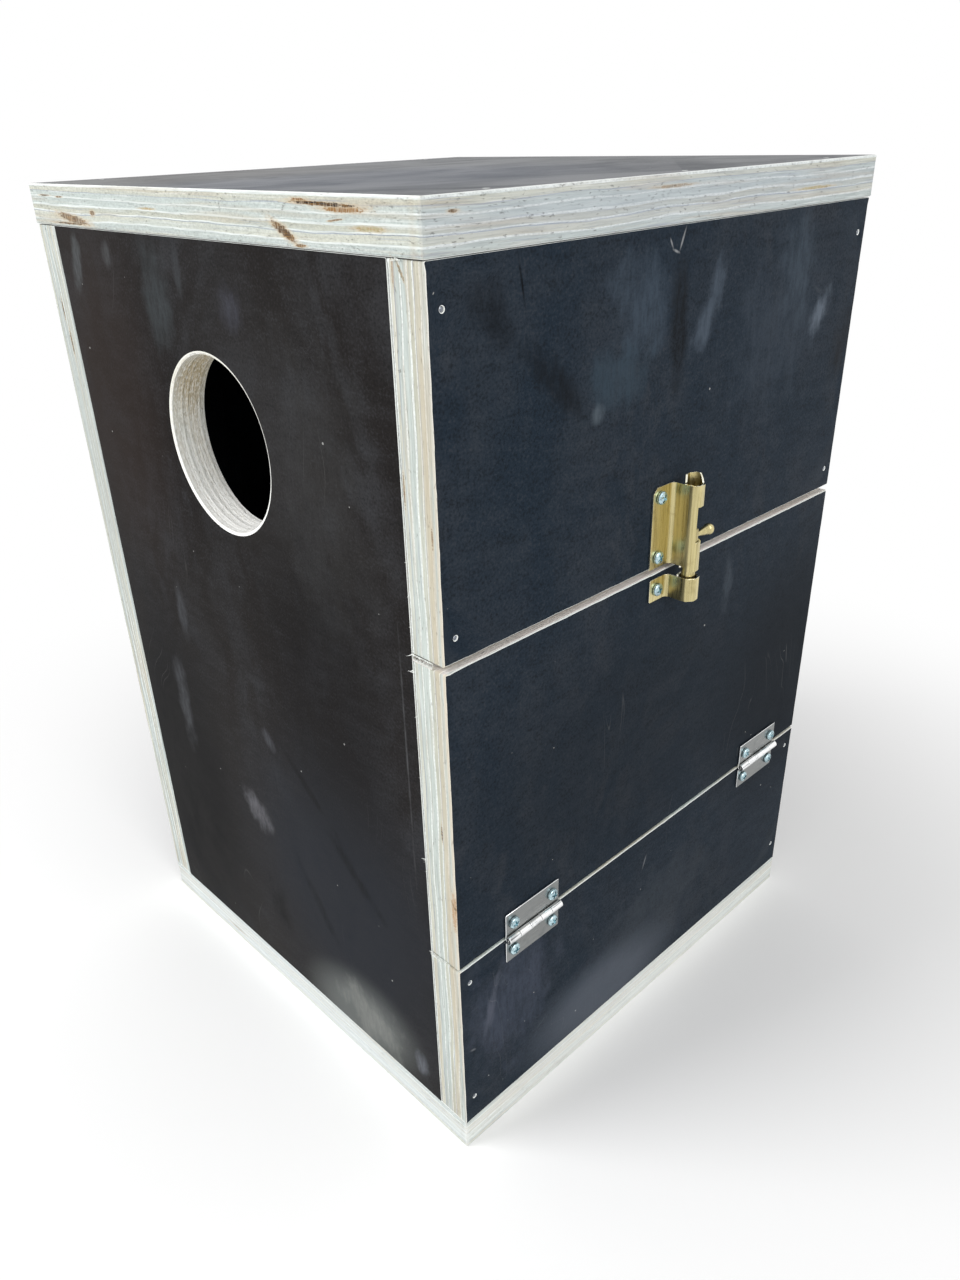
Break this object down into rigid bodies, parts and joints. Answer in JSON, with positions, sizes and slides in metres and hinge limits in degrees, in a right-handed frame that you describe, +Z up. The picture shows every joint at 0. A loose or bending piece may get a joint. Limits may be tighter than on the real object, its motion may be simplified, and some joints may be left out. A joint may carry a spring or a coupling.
{
  "type": "parakeet breeding box",
  "caption": "Upright plywood nest box for parakeets with a round entrance hole, a drop-down inspection door on hinges and a barrel bolt.",
  "frame": {"origin": "centre of the floor panel's underside", "axes": "+Z up; -Y out of the entrance hole; +X out of the inspection door"},
  "size_m": [0.303, 0.2872, 0.44],
  "materials": {
    "film_plywood": "satin phenolic film on birch plywood, raw pale edges",
    "zinc_steel": "bright zinc plated",
    "screw_steel": "blue zinc plated",
    "bolt_brass": "brass plated, brushed",
    "nail_steel": "bright wire",
    "galvanised_wire": "galvanised",
    "bare_wood": "unfinished"
  },
  "bodies": {
    "case": {"roof_panel": "film_plywood", "floor_panel": "film_plywood", "front_panel": "film_plywood", "back_panel": "film_plywood", "left_side_panel": "film_plywood", "upper_side_panel": "film_plywood", "lower_side_panel": "film_plywood", "near_hinge_fixed_leaf": "zinc_steel", "near_hinge_pin": "zinc_steel", "near_hinge_fixed_screw_1": "screw_steel", "near_hinge_fixed_screw_2": "screw_steel", "far_hinge_fixed_leaf": "zinc_steel", "far_hinge_pin": "zinc_steel", "far_hinge_fixed_screw_1": "screw_steel", "far_hinge_fixed_screw_2": "screw_steel", "bolt_body": "bolt_brass", "bolt_body_screw_1": "screw_steel", "bolt_body_screw_2": "screw_steel", "upper_side_nail_1": "nail_steel", "upper_side_nail_2": "nail_steel", "upper_side_nail_3": "nail_steel", "upper_side_nail_4": "nail_steel", "lower_side_nail_1": "nail_steel", "lower_side_nail_2": "nail_steel", "lower_side_nail_3": "nail_steel", "lower_side_nail_4": "nail_steel", "left_side_nail_1": "nail_steel", "left_side_nail_2": "nail_steel", "left_side_nail_3": "nail_steel", "left_side_nail_4": "nail_steel", "left_side_nail_5": "nail_steel", "left_side_nail_6": "nail_steel", "roof_nail_1": "nail_steel", "roof_nail_2": "nail_steel", "roof_nail_3": "nail_steel", "roof_nail_4": "nail_steel", "roof_nail_5": "nail_steel", "roof_nail_6": "nail_steel", "floor_nail_1": "nail_steel", "floor_nail_2": "nail_steel", "floor_nail_3": "nail_steel", "floor_nail_4": "nail_steel", "climbing_ladder": "galvanised_wire", "ladder_staple_1": "galvanised_wire", "ladder_staple_2": "galvanised_wire", "ladder_staple_3": "galvanised_wire", "ladder_staple_4": "galvanised_wire", "nest_block": "bare_wood"},
    "door": {"inspection_door": "film_plywood", "near_hinge_door_leaf": "zinc_steel", "near_hinge_door_screw_1": "screw_steel", "near_hinge_door_screw_2": "screw_steel", "far_hinge_door_leaf": "zinc_steel", "far_hinge_door_screw_1": "screw_steel", "far_hinge_door_screw_2": "screw_steel", "bolt_keeper": "bolt_brass", "bolt_keeper_screw": "screw_steel"},
    "rod": {"bolt_rod": "bolt_brass"},
    "knob": {"bolt_knob": "bolt_brass"}
  },
  "joints": [
    {"name": "door_hinge", "type": "hinge", "parent": "case", "child": "door", "pos_m": [0.1463, 0, 0.122], "axis": [0, 1, 0], "range_deg": [0, 135]},
    {"name": "bolt_slide", "type": "slide", "parent": "case", "child": "rod", "axis": [0, 0, 1], "range_m": [0, 0.0135]},
    {"name": "knob_turn", "type": "hinge", "parent": "rod", "child": "knob", "pos_m": [0.1535, 0, 0.292], "axis": [0, 0, -1], "range_deg": [0, 70]}
  ]
}
